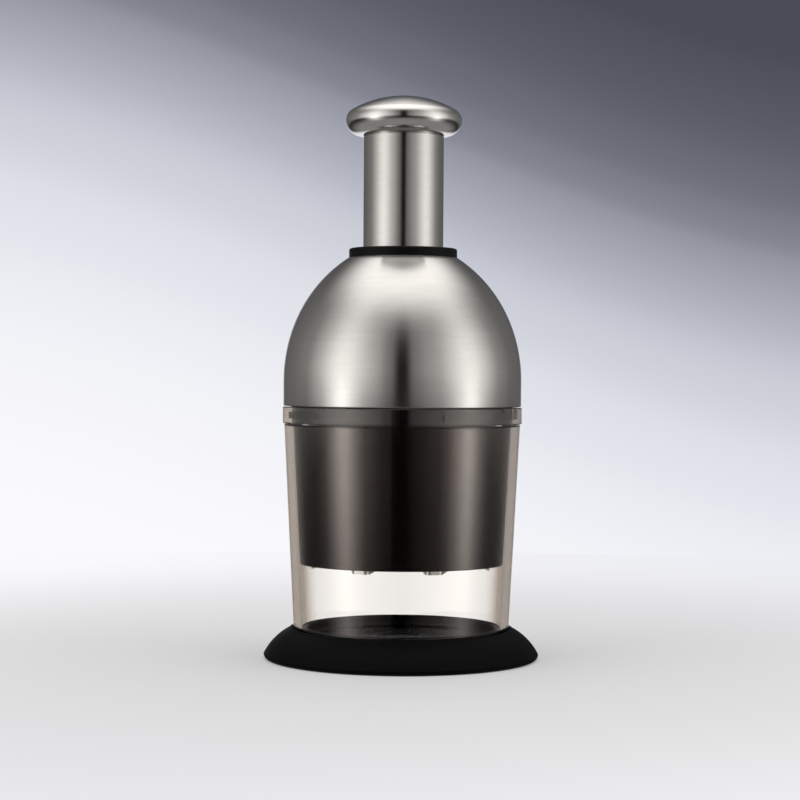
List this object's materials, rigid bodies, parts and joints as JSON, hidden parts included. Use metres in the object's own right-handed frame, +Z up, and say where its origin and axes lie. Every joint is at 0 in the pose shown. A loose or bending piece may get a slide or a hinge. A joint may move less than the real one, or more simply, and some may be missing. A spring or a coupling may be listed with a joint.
{
  "type": "plunger food chopper",
  "caption": "Hand-pressed food chopper: a steel knob and dome over a clear tapered container, with a zigzag blade in a dark guard, on a flared black rubber base.",
  "frame": {"origin": "on the surface that the chopper stands on, under its axis", "axes": "+Z up along the plunger's axis, -Y towards the front, +X to the right seen from the front"},
  "size_m": [0.1104, 0.1104, 0.2257],
  "materials": {
    "skirt_rubber": "matt moulded rubber",
    "tray_black": "glossy moulded plastic",
    "clear_body": "clear, faintly smoky moulded plastic",
    "guard_dark": "semi-gloss moulded plastic",
    "dome_steel": "brushed round the axis",
    "knob_steel": "polished",
    "tube_steel": "fine brushed",
    "blade_steel": "ground edge",
    "collar_black": "fine moulded grain",
    "inner_black": "moulded",
    "white_plastic": "slippery moulded plastic",
    "spring_steel": "drawn wire",
    "screw_steel": "zinc plated",
    "bumper_rubber": "matt rubber"
  },
  "bodies": {
    "base": {"base_skirt": "skirt_rubber", "chopping_tray": "tray_black"},
    "container": {"clear_container": "clear_body"},
    "head": {"dome_shell": "dome_steel", "collar_ring": "collar_black", "inner_housing": "inner_black", "guide_bush": "white_plastic", "bayonet_ring": "inner_black", "mechanism_plate": "inner_black", "ratchet_ring": "white_plastic", "index_nut": "white_plastic", "nut_spring": "spring_steel", "nut_retainer": "inner_black", "end_bumper": "bumper_rubber", "housing_screws": "screw_steel"},
    "plunger": {"knob_cap": "knob_steel", "knob_insert": "inner_black", "handle_tube": "tube_steel", "plunger_core": "white_plastic", "core_rivets": "screw_steel", "knob_screw": "screw_steel", "stop_ring": "spring_steel", "return_spring": "spring_steel"},
    "rotor": {"drive_shaft": "screw_steel", "swivel_washer": "screw_steel", "swivel_screw": "screw_steel", "blade_carrier": "guard_dark", "carrier_screw": "screw_steel", "chopping_blade": "blade_steel"},
    "guard": {"blade_guard": "guard_dark", "wiper_plate": "guard_dark"}
  },
  "joints": [
    {"name": "container_lift", "type": "slide", "parent": "base", "child": "container", "axis": [0, 0, 1], "range_m": [0, 0.04]},
    {"name": "bayonet_twist", "type": "hinge", "parent": "container", "child": "head", "pos_m": [0, 0, 0.097], "axis": [0, 0, 1], "range_deg": [0, 40]},
    {"name": "plunger_press", "type": "slide", "parent": "head", "child": "plunger", "axis": [0, 0, -1], "range_m": [0, 0.0279], "stiffness_N_per_m": 500, "springref_m": -0.01, "deforming": ["return_spring"]},
    {"name": "blade_index", "type": "hinge", "parent": "plunger", "child": "rotor", "pos_m": [0, 0, 0.16], "axis": [0, 0, -1], "range_deg": [0, 45]},
    {"name": "guard_index", "type": "hinge", "parent": "head", "child": "guard", "pos_m": [0, 0, 0.097], "axis": [0, 0, -1], "range_deg": [0, 45]}
  ],
  "couplings": [
    {"joint": "blade_index", "follows": "plunger_press", "rad_per_m": 28.15},
    {"joint": "guard_index", "follows": "plunger_press", "rad_per_m": 28.15}
  ]
}
